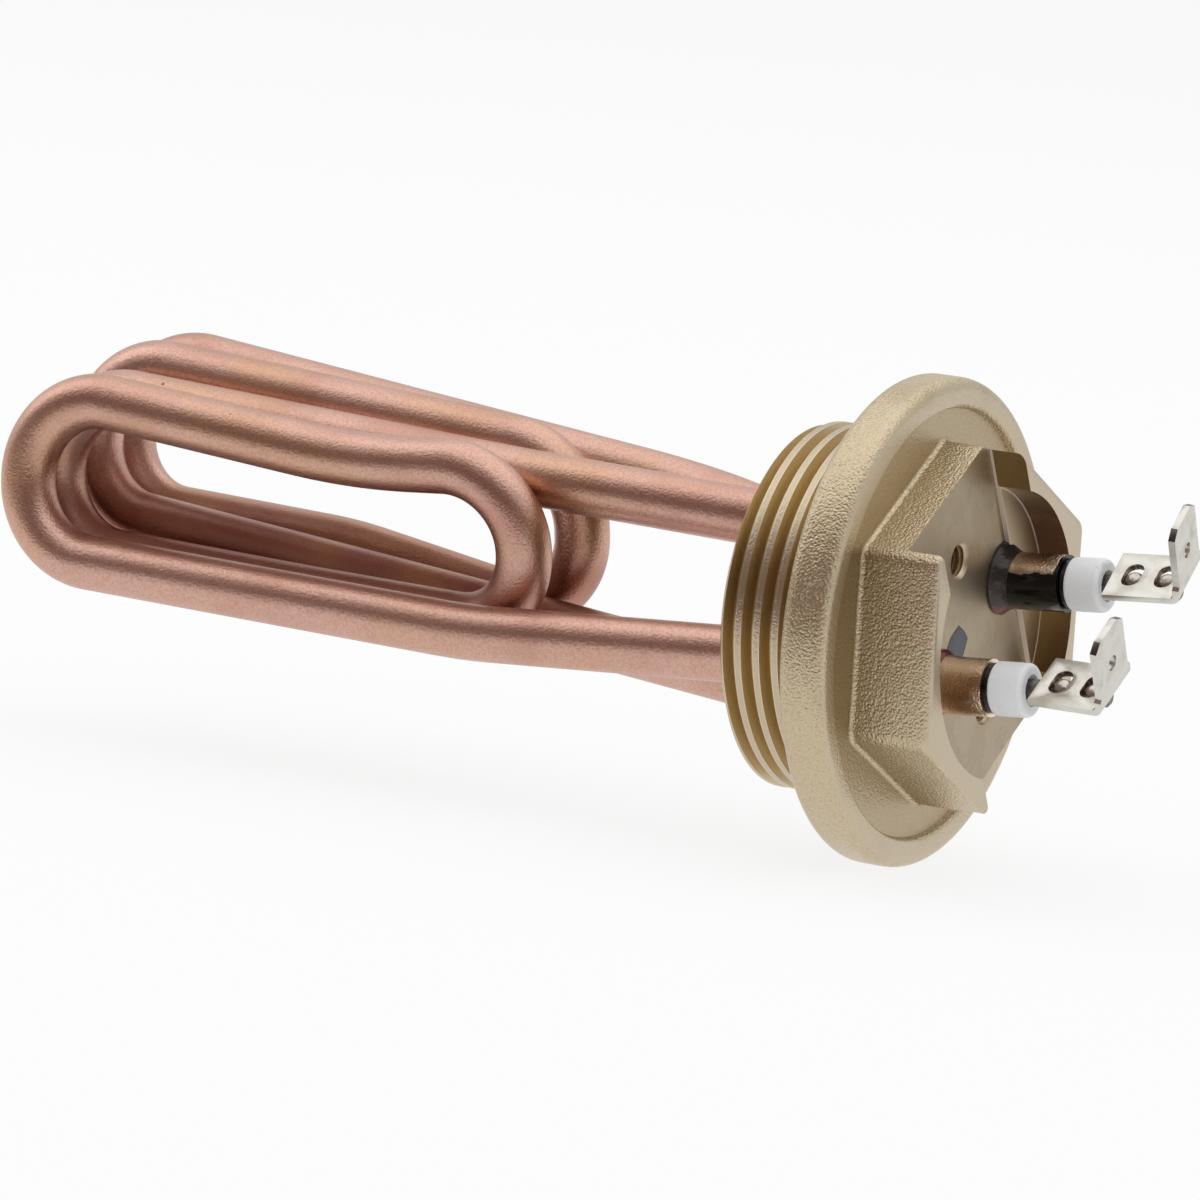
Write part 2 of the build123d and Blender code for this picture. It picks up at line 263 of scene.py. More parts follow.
KNEE_X = 12.6
RISE = math.radians(5)
LOWER_END = (-6.85, -5.4)
UPPER_END = (6.85, 5.35)
RUN_STEP, BEND_STEP, STUB_STEP = 1.2, 0.6, 0.4
AXIS_DIR = Vector((math.cos(RISE), 0, math.sin(RISE)))
STUB_L = {"lower": 3.95, "upper": 5.55}
END_AT = {"lower": LOWER_END, "upper": UPPER_END}
SEAL_GAP = 0.65
BUSH_L = 4.25
TAB_GAP = {"lower": 1.6, "upper": 1.0}
TAB_ROLL = math.radians(37)
TAB_YAW = {"lower": math.radians(-6.5), "upper": 0.0}
TAB_WELDS = (2.5, 6.5)
TAB_TOP = 1.9
SHEARED_ABOVE = 8
SHEARED_AREA = 0.2
RIM_STEP_R = 24.6
HEX_TOP_X = 14.4
POCKET_R = 16.3
LEDGE_X = 10.6
FLOOR_X = 10.0
HEAT_AT = Vector((12.0, 10.5, 9.0))
SLOT_TURN = math.radians(30)
SLOT_HALF = 10.3
M4_AT = ((-4.7, 8.1), (5.1, -9.1))
M4_MOUTH_R = 2.3
M4_DEPTH = 0.35
M4_TOOTH = 0.54
M4_TURNS = 8.0
M4_FROM = 5.4
SPOT_OUTLINE = ((-3.4, 0.75), (-5.1, -0.45), (-6.2, -2.4), (-1.7, -2.9), (-0.9, -0.9),
                (-1.9, 0.0))
THREAD_PITCH = 2.309
THREAD_CREST = 0.85
THREAD_AT = -13.077


def coil_route(bend_r):
    """Corners of the tube's centre line, each with its bend radius, in mm."""
    return [
        (KNEE_X, *LOWER_END, 12),
        (-7.0, *LOWER_END, 25),
        # front loop
        (-48.5, -11.1, -7.9, 60),
        (-109.6, -11.9, -6.8, bend_r),
        (-109.6, -11.2, 12.9, bend_r),
        (-66.3, -9.3, 9.4, 90),
        (-44.7, -8.5, 11.3, bend_r - 0.2),
        (-44.7, -3.8, -7.9, bend_r - 0.2),
        (-74.0, -4.4, -7.5, 90),
        # second loop
        (-110.5, -3.4, -6.9, bend_r),
        (-110.5, -4.2, 12.6, bend_r),
        (-48.3, -1.3, 9.6, 90),
        # turn inside the hollow of the collar
        (-3.9, -0.5, 8.6, bend_r),
        (-3.9, 1.9, -11.4, bend_r),
        # third loop
        (-56.2, 2.8, -6.9, 60),
        (-110.3, 3.3, -2.5, bend_r - 0.5),
        (-110.3, 4.1, 15.8, bend_r - 0.5),
        (-44.7, 5.2, 12.0, bend_r),
        (-44.7, 9.7, -8.1, bend_r),
        # back loop
        (-77.0, 9.8, -3.3, 60),
        (-110.3, 10.2, -2.5, bend_r - 0.3),
        (-110.3, 11.4, 16.8, bend_r - 0.3),
        (-33.0, 12.7, 9.2, 60),
        (-7.0, *UPPER_END, 25),
        (KNEE_X, *UPPER_END, 12),
    ]


def stub_point(side, distance):
    """Point on a terminal axis, a distance in mm beyond its knee."""
    y, z = END_AT[side]
    return Vector((KNEE_X, y, z)) + AXIS_DIR * distance


def tab_frame(side):
    """Start point and the width, length and up directions of a tab's strip, in mm."""
    y_dir = Vector((0, 1, 0))
    z_dir = Vector((-math.sin(RISE), 0, math.cos(RISE)))
    straight = y_dir * math.cos(TAB_ROLL) + z_dir * math.sin(TAB_ROLL)
    yaw = TAB_YAW[side]
    out_dir = AXIS_DIR * math.cos(yaw) + straight * math.sin(yaw)
    width_dir = straight * math.cos(yaw) - AXIS_DIR * math.sin(yaw)
    start = stub_point(side, STUB_L[side] + SEAL_GAP + BUSH_L + TAB_GAP[side])
    return start, width_dir, out_dir, out_dir.cross(width_dir)


def spaced(first, last, step):
    """Points from first to last about step apart, without the first."""
    count = max(1, round((last - first).length / step))
    return [first.lerp(last, i / count) for i in range(1, count + 1)]


def coil_line(bend_r):
    """Centre line of the tube as closely spaced points, in mm."""
    start = stub_point("lower", STUB_L["lower"])
    end = stub_point("upper", STUB_L["upper"])
    corners = coil_route(bend_r)
    ends = [Vector(c[:3]) for c in corners[1:]] + [end]
    line = [start]
    for corner, following in zip(corners, ends):
        here = line[-1]
        at = Vector(corner[:3])
        radius = corner[3]
        back = (here - at).normalized()
        ahead = (following - at).normalized()
        half = back.angle(ahead) / 2
        first = at + back * radius / math.tan(half)
        centre = at + (back + ahead).normalized() * radius / math.sin(half)
        line += spaced(here, first, RUN_STEP)
        turn = math.pi - 2 * half
        steps = max(4, round(radius * turn / BEND_STEP))
        spoke = first - centre
        axle = back.cross(ahead)
        for i in range(1, steps + 1):
            swing = Matrix.Rotation(-turn * i / steps, 3, axle)
            line.append(centre + swing @ spoke)
    return line + spaced(line[-1], end, STUB_STEP)


# Geometry node trees.

def new_tree(name, sockets):
    """Geometry node tree: itself, its inputs' identifiers and the values they give."""
    tree = bpy.data.node_groups.new(name, "GeometryNodeTree")
    keys = {}
    for label, kind, default in sockets:
        socket = tree.interface.new_socket(label, in_out="INPUT",
                                           socket_type="NodeSocket" + kind)
        if default is not None:
            socket.default_value = default
        keys[label] = socket.identifier
    return tree, keys, node(tree, "NodeGroupInput").node.outputs


def finish_tree(tree, geometry, material):
    """Close a geometry node tree: real mesh, its material, the output."""
    tree.interface.new_socket("Geometry", in_out="OUTPUT", socket_type="NodeSocketGeometry")
    real = node(tree, "GeometryNodeRealizeInstances", {"Geometry": geometry})
    painted = node(tree, "GeometryNodeSetMaterial", {"Geometry": real, "Material": material})
    node(tree, "NodeGroupOutput", {0: painted})


def tube_tree():
    """Round tube along a curve, its run and its round kept as attributes."""
    tree, keys, given = new_tree("tube_along_path", (
        ("Path", "Geometry", None),
        ("Radius", "Float", 0.003),
        ("Sides", "Int", 32),
        ("Material", "Material", None),
    ))
    run = node(tree, "GeometryNodeSplineParameter", out="Length")
    path = node(tree, "GeometryNodeStoreNamedAttribute",
                {"Geometry": given["Path"], "Name": "run", "Value": run},
                data_type="FLOAT", domain="POINT")
    ring = node(tree, "GeometryNodeCurvePrimitiveCircle",
                {"Resolution": given["Sides"], "Radius": given["Radius"]}, mode="RADIUS")
    place = node(tree, "GeometryNodeInputPosition")
    profile = node(tree, "GeometryNodeStoreNamedAttribute",
                   {"Geometry": ring, "Name": "round", "Value": place},
                   data_type="FLOAT_VECTOR", domain="POINT")
    skin = node(tree, "GeometryNodeCurveToMesh",
                {"Curve": path, "Profile Curve": profile, "Fill Caps": True})
    finish_tree(tree, skin, given["Material"])
    return tree, keys


def thread_tree():
    """Three-sided cutter winding along +Z, for a tapped hole."""
    tree, keys, given = new_tree("tapping_cutter", (
        ("Geometry", "Geometry", None),
        ("Path radius", "Float", 0.0016),
        ("Pitch", "Float", 0.0007),
        ("Turns", "Float", 8.0),
        ("Tooth", "Float", 0.00038),
        ("Material", "Material", None),
    ))
    rise = node(tree, MATH, {0: given["Pitch"], 1: given["Turns"]}, **TIMES)
    coil = node(tree, "GeometryNodeCurveSpiral", {
        "Resolution": 40, "Rotations": given["Turns"], "Height": rise,
        "Start Radius": given["Path radius"], "End Radius": given["Path radius"]})
    upright = node(tree, "GeometryNodeSetCurveNormal", {"Curve": coil}, mode="Z_UP")
    tooth = node(tree, "GeometryNodeCurvePrimitiveCircle",
                 {"Resolution": 3, "Radius": given["Tooth"]}, mode="RADIUS")
    cutter = node(tree, "GeometryNodeCurveToMesh",
                  {"Curve": upright, "Profile Curve": tooth, "Fill Caps": True})
    finish_tree(tree, cutter, given["Material"])
    return tree, keys


def modified(data, *modifiers):
    """Plain mesh of some data after its modifiers, each a kind and its settings."""
    carrier = new_object("carrier", data)
    for kind, settings in modifiers:
        modifier = carrier.modifiers.new(kind, kind)
        for name, value in settings.items():
            if hasattr(modifier, name):
                setattr(modifier, name, value)
            else:
                modifier[name] = value
    graph = bpy.context.evaluated_depsgraph_get()
    mesh = bpy.data.meshes.new_from_object(
        carrier.evaluated_get(graph), preserve_all_data_layers=True, depsgraph=graph)
    carrier.modifiers.clear()
    bpy.data.objects.remove(carrier)
    return mesh


def smooth_below(mesh, degrees):
    """Smooth shading, with edges sharper than the angle kept crisp."""
    work = bmesh.new()
    work.from_mesh(mesh)
    for face in work.faces:
        face.smooth = True
    for edge in work.edges:
        flat = len(edge.link_faces) == 2
        edge.smooth = flat and edge.calc_face_angle(0) < math.radians(degrees)
    work.to_mesh(mesh)
    work.free()


# Finishes. In each, masks run from 0 to 1, and sizes are real millimetres.

def pickled_copper(colours):
    """Drawn copper tube, annealed and pickled: satin pink with a fine sparkling
    grain, a few soft stains and pits, painted shade between the lower turns, brown where the
    brazing heat reached it."""
    material, add = new_material("pickled_copper")
    coords = add(COORDS, out="Object")
    x, y, z = [add(SPLIT, {0: coords}, out=axis) for axis in "XYZ"]
    patches = add(NOISE, {"Vector": coords, "Scale": 1 / mm(11), "Detail": 3.0})
    frost = add(NOISE, {"Vector": coords, "Scale": 1 / mm(0.3), "Detail": 2.0,
                        "Roughness": 0.55})
    spots = add(CELLS, {"Vector": coords, "Scale": 1 / mm(10)})
    pit = add(RANGE, {0: spots, 1: 0.03, 2: 0.014, 4: 0.75}, **SMOOTH)

    # faint drawing lines along the tube
    run = add(OWN, attribute_name="run", out="Fac")
    around = add(OWN, attribute_name="round", out="Vector")
    slow_run = add(MATH, {0: run, 1: 0.03}, **TIMES)
    shifted = add(JOIN, {"Z": slow_run})
    line_at = add(VECTOR, {0: around, 1: shifted}, operation="ADD")
    lines = add(NOISE, {"Vector": line_at, "Scale": 1 / mm(0.45)})
    line = add(RANGE, {0: lines, 1: 0.6, 2: 0.78, 4: 0.06}, **SMOOTH)

    deep = add(RANGE, {0: patches, 1: 0.45, 2: 0.75, 4: 0.55}, **SMOOTH)
    tone = add(MIX, {0: deep, 6: colours.copper, 7: colours.copper_deep}, 2, **RGBA)
    # painted shade: darker colour on the lower runs behind the front loop, where the turns
    # shade each other
    inner = 0.6
    for axis, clear, full in ((x, -30, -45), (y, -9.5, -7), (z, 2, -2)):
        share = add(RANGE, {0: axis, 1: mm(clear), 2: mm(full)}, **SMOOTH)
        inner = add(MATH, {0: share, 1: inner}, **TIMES)
    tone = add(MIX, {0: inner, 6: tone, 7: colours.copper_dim}, 2, **RGBA)
    gilt = add(NOISE, {"Vector": coords, "Scale": 1 / mm(16), "Detail": 2.0})
    gilt = add(RANGE, {0: gilt, 1: 0.45, 2: 0.65, 4: 0.5}, **SMOOTH)
    tone = add(MIX, {0: gilt, 6: tone, 7: colours.copper_gilt}, 2, **RGBA)
    speck = add(RANGE, {0: frost, 1: 0.42, 2: 0.62, 4: 0.5})
    tone = add(MIX, {0: speck, 6: tone, 7: colours.copper_deep}, 2, **RGBA)
    tone = add(MIX, {0: line, 6: tone, 7: linear("#f3e1d7")}, 2, **RGBA)

    # heat of the brazing, streaked, worst on the upper stub
    streaks = add(NOISE, {"Vector": coords, "Scale": 1 / mm(1.6), "Detail": 4.0})
    hot = add(RANGE, {0: x, 1: mm(9), 2: mm(12), 4: 0.8}, **SMOOTH)
    # painted highlight: the heated stubs are painted pale, lighter than plain copper
    tone = add(MIX, {0: hot, 6: tone, 7: colours.copper_burnt}, 2, **RGBA)
    upper = add(RANGE, {0: z, 1: mm(0), 2: mm(1.5)})
    charred = add(RANGE, {0: streaks, 1: 0.45, 2: 0.62, 3: 0.1, 4: 0.75}, **SMOOTH)
    charred = add(MATH, {0: charred, 1: hot}, **TIMES)
    share = add(RANGE, {0: upper, 3: 0.2, 4: 0.55})
    charred = add(MATH, {0: charred, 1: share}, **TIMES)
    tone = add(MIX, {0: charred, 6: tone, 7: colours.copper_charred}, 2, **RGBA)
    tone = add(MIX, {0: pit, 6: tone, 7: linear("#55352c")}, 2, **RGBA)

    # black resin run over the lower part of the upper stub
    drop = add(MATH, {0: x, 1: -math.tan(RISE), 2: z}, **TIMES_PLUS)
    wander = add(MATH, {0: streaks, 1: mm(1.6), 2: drop}, **TIMES_PLUS)
    level = mm(UPPER_END[1] - KNEE_X * math.tan(RISE) + 0.8)
    low = add(RANGE, {0: wander, 1: level + mm(1.35), 2: level + mm(1.1)}, **SMOOTH)
    low = add(MATH, {0: low, 1: upper}, **TIMES)
    end = add(MATH, {0: streaks, 1: mm(-2), 2: x}, **TIMES_PLUS)
    end_at = mm(KNEE_X + STUB_L["upper"] - 1.7)
    tip = add(RANGE, {0: end, 1: end_at, 2: end_at + mm(0.15)}, **SMOOTH)
    low = add(MATH, {0: low, 1: tip}, **LARGER)
    beyond = add(RANGE, {0: x, 1: mm(10.4), 2: mm(10.8)})
    coat = add(MATH, {0: low, 1: beyond}, **TIMES)
    tone = add(MIX, {0: coat, 6: tone, 7: colours.resin}, 2, **RGBA)

    satin = add(RANGE, {0: patches, 3: 0.33, 4: 0.41})
    fired = add(RANGE, {0: streaks, 1: 0.35, 2: 0.65, 3: 0.14, 4: 0.32})
    satin = add(MIX, {0: hot, 2: satin, 3: fired})
    rough = add(MIX, {0: coat, 2: satin, 3: 0.12})
    metal = add(MATH, {0: 1.0, 1: coat}, **MINUS)
    grain = add(MATH, {0: frost, 1: metal}, **TIMES)
    skin = add(BUMP, {"Height": grain, "Distance": mm(0.06)})
    hollow = add(MATH, {0: 1.0, 1: pit}, **MINUS)
    skin = add(BUMP, {"Height": hollow, "Distance": mm(0.06), "Normal": skin})
    surface = add(BSDF, {"Base Color": tone, "Metallic": metal, "Roughness": rough,
                         "Normal": skin})
    add(OUTPUT, {"Surface": surface})
    return material


def cast_brass(colours):
    """Sand cast brass, bead blasted: grainy khaki skin, smoother on its front faces;
    thread, recess and jaw tops machined, and the recess tinted by brazing heat; painted shade
    on the ring round the hexagon, painted highlights on the crest edges, the slot's foot and
    the ledge's edge."""
    material, add = new_material("cast_brass")
    coords = add(COORDS, out="Object")
    x, y, z = [add(SPLIT, {0: coords}, out=axis) for axis in "XYZ"]
    facing = add("ShaderNodeNewGeometry", out="Normal")
    facing_x = add(SPLIT, {0: facing}, out="X")
    spoke = add(JOIN, {"Y": y, "Z": z})
    radius = add(VECTOR, {0: spoke}, "Value", operation="LENGTH")
    unit = add(VECTOR, {0: spoke}, operation="NORMALIZE")
    outward = add(VECTOR, {0: unit, 1: facing}, "Value", operation="DOT_PRODUCT")

    # where the tool has been
    thread = add(RANGE, {0: x, 1: mm(0.0), 2: mm(-0.2)}, **SMOOTH)
    on_crest = add(RANGE, {0: radius, 1: mm(20.75), 2: mm(20.88)}, **SMOOTH)
    crest = add(MATH, {0: thread, 1: on_crest}, **TIMES)
    front = add(RANGE, {0: facing_x, 1: 0.8, 2: 0.95}, **SMOOTH)
    in_bed = add(RANGE, {0: x, 1: mm(LEDGE_X + 0.7), 2: mm(LEDGE_X + 0.3)}, **SMOOTH)
    deep = add(RANGE, {0: x, 1: mm(FLOOR_X - 0.4), 2: mm(FLOOR_X - 0.2)}, **SMOOTH)
    bed = add(MATH, {0: in_bed, 1: deep}, **TIMES)
    bed = add(MATH, {0: bed, 1: front}, **TIMES)
    inward = add(RANGE, {0: outward, 1: -0.1, 2: -0.3}, **SMOOTH)
    wall = add(RANGE, {0: x, 1: mm(FLOOR_X - 0.05), 2: mm(FLOOR_X + 0.05)}, **SMOOTH)
    wall = add(MATH, {0: wall, 1: inward}, **TIMES)
    high = add(RANGE, {0: x, 1: mm(HEX_TOP_X - 0.8), 2: mm(HEX_TOP_X - 0.1)}, **SMOOTH)
    jaw_top = add(MATH, {0: high, 1: facing_x}, **TIMES)
    # screw holes: a small circle round each axis belongs to the bed
    tapped = 0.0
    for hole_y, hole_z in M4_AT:
        away = add(VECTOR, {0: spoke, 1: (0, mm(hole_y), mm(hole_z))}, "Value", **FROM_POINT)
        bored = add(RANGE, {0: away, 1: mm(M4_MOUTH_R + 0.1), 2: mm(M4_MOUTH_R)})
        bed = add(MATH, {0: bed, 1: bored}, **LARGER)
        inside = add(RANGE, {0: x, 1: mm(FLOOR_X - 0.1), 2: mm(FLOOR_X - 0.3)})
        inside = add(MATH, {0: inside, 1: bored}, **TIMES)
        tapped = add(MATH, {0: inside, 1: tapped}, **LARGER)
    cut = add(MATH, {0: bed, 1: wall}, **LARGER)
    cut = add(MATH, {0: cut, 1: thread}, **LARGER)
    smooth = add(MATH, {0: front, 1: 0.5}, **TIMES)
    jaw_top = add(MATH, {0: jaw_top, 1: 0.8}, **TIMES)
    smooth = add(MATH, {0: smooth, 1: jaw_top}, **LARGER)
    rugged = add(MATH, {0: 1.0, 1: smooth}, **MINUS)

    # cast skin
    sand = add(NOISE, {"Vector": coords, "Scale": 1 / mm(0.3), "Detail": 3.0, "Roughness": 0.6})
    lumps = add(NOISE, {"Vector": coords, "Scale": 1 / mm(0.8), "Detail": 2.0})
    clouds = add(NOISE, {"Vector": coords, "Scale": 1 / mm(8), "Detail": 3.0})
    hollows = add(RANGE, {0: sand, 1: 0.55, 2: 0.35, 4: 0.35}, **SMOOTH)
    hollows = add(MATH, {0: hollows, 1: rugged}, **TIMES)
    skin = add(MIX, {0: hollows, 6: colours.brass_cast, 7: colours.brass_hollow}, 2, **RGBA)
    shade = add(RANGE, {0: clouds, 1: 0.5, 2: 0.75, 4: 0.3}, **SMOOTH)
    skin = add(MIX, {0: shade, 6: skin, 7: colours.brass_hollow}, 2, **RGBA)
    skin = add(MIX, {0: smooth, 6: skin, 7: colours.brass_front}, 2, **RGBA)
    # painted shade: darker colour on the recessed ring between the rim and the hexagon, where
    # the rim shades it
    within = add(RANGE, {0: radius, 1: mm(RIM_STEP_R), 2: mm(RIM_STEP_R - 0.4),
                         4: 0.55}, **SMOOTH)
    sunken = add(RANGE, {0: x, 1: mm(8), 2: mm(6.5)}, **SMOOTH)
    sunken = add(MATH, {0: sunken, 1: front}, **TIMES)
    sunken = add(MATH, {0: sunken, 1: within}, **TIMES)
    skin = add(MIX, {0: sunken, 6: skin, 7: colours.brass_hollow}, 2, **RGBA)

    # thread: golden flanks with tool lines, grey grained crests with a painted highlight along
    # their edges
    line_at = add(JOIN, {"X": x, "Y": radius})
    tool_lines = add(NOISE, {"Vector": line_at, "Scale": 1 / mm(0.12), "Detail": 1.0})
    flank = add(RANGE, {0: tool_lines, 1: 0.3, 2: 0.7, 4: 0.35})
    flank = add(MIX, {0: flank, 6: colours.brass_cut, 7: colours.brass_cast}, 2, **RGBA)
    angle = add(MATH, {0: z, 1: y}, operation="ARCTAN2")
    turns = add(MATH, {0: angle, 1: -mm(THREAD_PITCH) / math.tau, 2: x}, **TIMES_PLUS)
    turns = add(MATH, {0: turns, 1: mm(THREAD_AT)}, **MINUS)
    aside = add(MATH, {0: turns, 1: mm(THREAD_PITCH / 2)}, operation="PINGPONG")
    from_edge = add(MATH, {0: aside, 1: mm((THREAD_PITCH - THREAD_CREST) / 2)}, **MINUS)
    # painted highlight along the edges of each thread crest
    rubbed = add(RANGE, {0: from_edge, 1: mm(0.16), 2: mm(0.08)}, **SMOOTH)
    worn = add(MIX, {0: rubbed, 6: colours.brass_front, 7: colours.brass_edge}, 2, **RGBA)
    threads = add(MIX, {0: crest, 6: flank, 7: worn}, 2, **RGBA)

    # milled bed and walls of the recess
    stains = add(NOISE, {"Vector": coords, "Scale": 1 / mm(4.5), "Detail": 4.0,
                         "Roughness": 0.6})
    dull = add(RANGE, {0: stains, 1: 0.35, 2: 0.75, 4: 0.45}, **SMOOTH)
    floor = add(MIX, {0: dull, 6: colours.brass_floor, 7: colours.brass_hollow}, 2, **RGBA)
    rim_in = add(RANGE, {0: stains, 1: 0.5, 2: 0.52}, **SMOOTH)
    rim_out = add(RANGE, {0: stains, 1: 0.545, 2: 0.525, 4: 0.12}, **SMOOTH)
    tide = add(MATH, {0: rim_in, 1: rim_out}, **TIMES)
    floor = add(MIX, {0: tide, 6: floor, 7: linear("#76615d")}, 2, **RGBA)
    tone = skin
    for mask, layer in ((thread, threads), (bed, floor), (wall, colours.brass_wall),
                        (tapped, colours.brass_edge)):
        tone = add(MIX, {0: mask, 6: tone, 7: layer}, 2, **RGBA)

    # painted highlight along the foot of the slot's walls, broader where the ledge meets it
    side = add(MATH, {0: y, 1: math.cos(SLOT_TURN)}, **TIMES)
    across = add(MATH, {0: z, 1: math.sin(SLOT_TURN), 2: side}, **TIMES_PLUS)
    across = add(MATH, {0: across}, operation="ABSOLUTE")
    off_slot = add(MATH, {0: across, 1: mm(SLOT_HALF), 2: mm(0.08)}, operation="COMPARE")
    foot_top = add(RANGE, {0: radius, 1: mm(POCKET_R + 0.1), 2: mm(POCKET_R - 0.1),
                           3: mm(FLOOR_X + 0.33), 4: mm(LEDGE_X + 0.02)})
    below = add(MATH, {0: x, 1: foot_top}, operation="LESS_THAN")
    above = add(MATH, {0: x, 1: mm(FLOOR_X + 0.02)}, operation="GREATER_THAN")
    foot = add(MATH, {0: off_slot, 1: below}, **TIMES)
    foot = add(MATH, {0: foot, 1: above}, **TIMES)
    # thin painted highlight where the turned ledge meets its wall
    arc = add(MATH, {0: radius, 1: mm(POCKET_R - 0.1), 2: mm(0.13)}, operation="COMPARE")
    arc = add(MATH, {0: arc, 1: bed}, **TIMES)
    raised = add(MATH, {0: x, 1: mm(FLOOR_X + 0.3)}, operation="GREATER_THAN")
    arc = add(MATH, {0: arc, 1: raised}, **TIMES)
    ledge = add(MATH, {0: bed, 1: raised}, **TIMES)
    tone = add(MIX, {0: ledge, 6: tone, 7: colours.brass_edge}, 2, **RGBA)
    bright = add(MATH, {0: foot, 1: arc}, **LARGER)

    # heat tint round the upper terminal: strong on the wall, weak on the ledge
    from_heat = add(VECTOR, {0: coords, 1: mm(HEAT_AT)}, "Value", **FROM_POINT)
    ragged = add(MATH, {0: stains, 1: mm(5), 2: from_heat}, **TIMES_PLUS)
    heat = add(RANGE, {0: ragged, 1: mm(12.5), 2: mm(7)}, **SMOOTH)
    on_wall = add(MATH, {0: wall, 1: 0.92}, **TIMES)
    on_bed = add(MATH, {0: bed, 1: 0.1}, **TIMES)
    takes = add(MATH, {0: on_wall, 1: on_bed}, **LARGER)
    heat = add(MATH, {0: heat, 1: takes}, **TIMES)
    ruddy = add(RANGE, {0: stains, 1: 0.45, 2: 0.65}, **SMOOTH)
    burn = add(MIX, {0: ruddy, 6: colours.brass_tint, 7: colours.brass_ruddy}, 2, **RGBA)
    tone = add(MIX, {0: heat, 6: tone, 7: burn}, 2, **RGBA)
    # painted highlight: near-white colour mixed in along the slot's foot and the ledge's edge
    bright = add(MATH, {0: bright, 1: 0.8}, **TIMES)
    tone = add(MIX, {0: bright, 6: tone, 7: linear("#f9efe2")}, 2, **RGBA)

    rough_cast = add(RANGE, {0: sand, 3: 0.28, 4: 0.42})
    rough = add(MIX, {0: cut, 2: rough_cast, 3: 0.33})
    rough = add(MIX, {0: bed, 2: rough, 3: 0.45})
    grains = add(CELLS, {"Vector": coords, "Scale": 1 / mm(0.32)})
    height = add(MATH, {0: lumps, 1: 0.5, 2: sand}, **TIMES_PLUS)
    height = add(MATH, {0: grains, 1: -0.8, 2: height}, **TIMES_PLUS)
    uncut = add(MATH, {0: 1.0, 1: cut}, **MINUS)
    uncut = add(MATH, {0: uncut, 1: rugged}, **TIMES)
    matt = add(RANGE, {0: rubbed, 3: 0.45, 4: 0.05})
    uncut = add(MATH, {0: crest, 1: matt, 2: uncut}, **TIMES_PLUS)
    height = add(MATH, {0: height, 1: uncut}, **TIMES)
    relief = add(BUMP, {"Height": height, "Distance": mm(0.09)})
    lathe = add(MATH, {0: tool_lines, 1: thread}, **TIMES)
    pores = add(NOISE, {"Vector": coords, "Scale": 1 / mm(0.3)})
    fine = add(MATH, {0: pores, 1: 0.6, 2: lathe}, **TIMES_PLUS)
    relief = add(BUMP, {"Height": fine, "Distance": mm(0.01), "Normal": relief})
    # the painted highlight is less metallic too, so it takes up diffuse light
    metal = add(RANGE, {0: bright, 3: 1.0, 4: 0.2})
    surface = add(BSDF, {"Base Color": tone, "Metallic": metal, "Roughness": rough,
                         "Normal": relief})
    add(OUTPUT, {"Surface": surface})
    return material


def braze_alloy(colours):
    """Silver braze darkened by flux and heat: smooth dark grey collar with a
    red-brown patch of copper oxide low on it and at its edges."""
    material, add = new_material("braze_alloy")
    coords = add(COORDS, out="Object")
    z = add(SPLIT, {0: coords}, out="Z")
    clouds = add(NOISE, {"Vector": coords, "Scale": 1 / mm(2.2), "Detail": 3.0})
    low = add(MATH, {0: clouds, 1: mm(3), 2: z}, **TIMES_PLUS)
    oxide = add(RANGE, {0: low, 1: mm(4.2), 2: mm(3.2), 4: 0.85}, **SMOOTH)
    tone = add(MIX, {0: oxide, 6: colours.braze, 7: colours.oxide}, 2, **RGBA)
    grey = add(RANGE, {0: clouds, 1: 0.5, 2: 0.8, 4: 0.4}, **SMOOTH)
    tone = add(MIX, {0: grey, 6: tone, 7: linear("#5f5852")}, 2, **RGBA)
    rough = add(RANGE, {0: clouds, 3: 0.16, 4: 0.4})
    lumps = add(NOISE, {"Vector": coords, "Scale": 1 / mm(1.0), "Detail": 2.0})
    relief = add(BUMP, {"Height": lumps, "Distance": mm(0.13)})
    surface = add(BSDF, {"Base Color": tone, "Roughness": rough, "Normal": relief,
                         "Metallic": 0.55})
    add(OUTPUT, {"Surface": surface})
    return material


def sealing_resin(colours):
    """Cured black epoxy: glossy, wrinkled where it was squeezed out."""
    material, add = new_material("sealing_resin")
    coords = add(COORDS, out="Object")
    haze = add(NOISE, {"Vector": coords, "Scale": 1 / mm(0.8), "Detail": 3.0})
    dusty = add(RANGE, {0: haze, 1: 0.5, 2: 0.8}, **SMOOTH)
    tone = add(MIX, {0: dusty, 6: colours.resin, 7: linear("#2b2a2c")}, 2, **RGBA)
    rough = add(RANGE, {0: haze, 3: 0.06, 4: 0.3})
    relief = add(BUMP, {"Height": haze, "Distance": mm(0.12)})
    surface = add(BSDF, {"Base Color": tone, "Roughness": rough, "Normal": relief})
    add(OUTPUT, {"Surface": surface})
    return material


def steatite(colours):
    """Pressed steatite ceramic, unglazed: matt white with faint grey rubs."""
    material, add = new_material("steatite_ceramic")
    coords = add(COORDS, out="Object")
    rubs = add(NOISE, {"Vector": coords, "Scale": 1 / mm(1.3), "Detail": 5.0, "Roughness": 0.7})
    rub = add(RANGE, {0: rubs, 1: 0.6, 2: 0.75, 4: 0.55}, **SMOOTH)
    tone = add(MIX, {0: rub, 6: colours.ceramic, 7: linear("#a9a8ac")}, 2, **RGBA)
    pores = add(NOISE, {"Vector": coords, "Scale": 1 / mm(0.45), "Detail": 4.0})
    relief = add(BUMP, {"Height": pores, "Distance": mm(0.035)})
    surface = add(BSDF, {"Base Color": tone, "Normal": relief, "Roughness": 0.5,
                         "Subsurface Weight": 0.15,
                         "Subsurface Radius": (0.001, 0.001, 0.001),
                         "Subsurface Scale": 1.0})
    add(OUTPUT, {"Surface": surface})
    return material


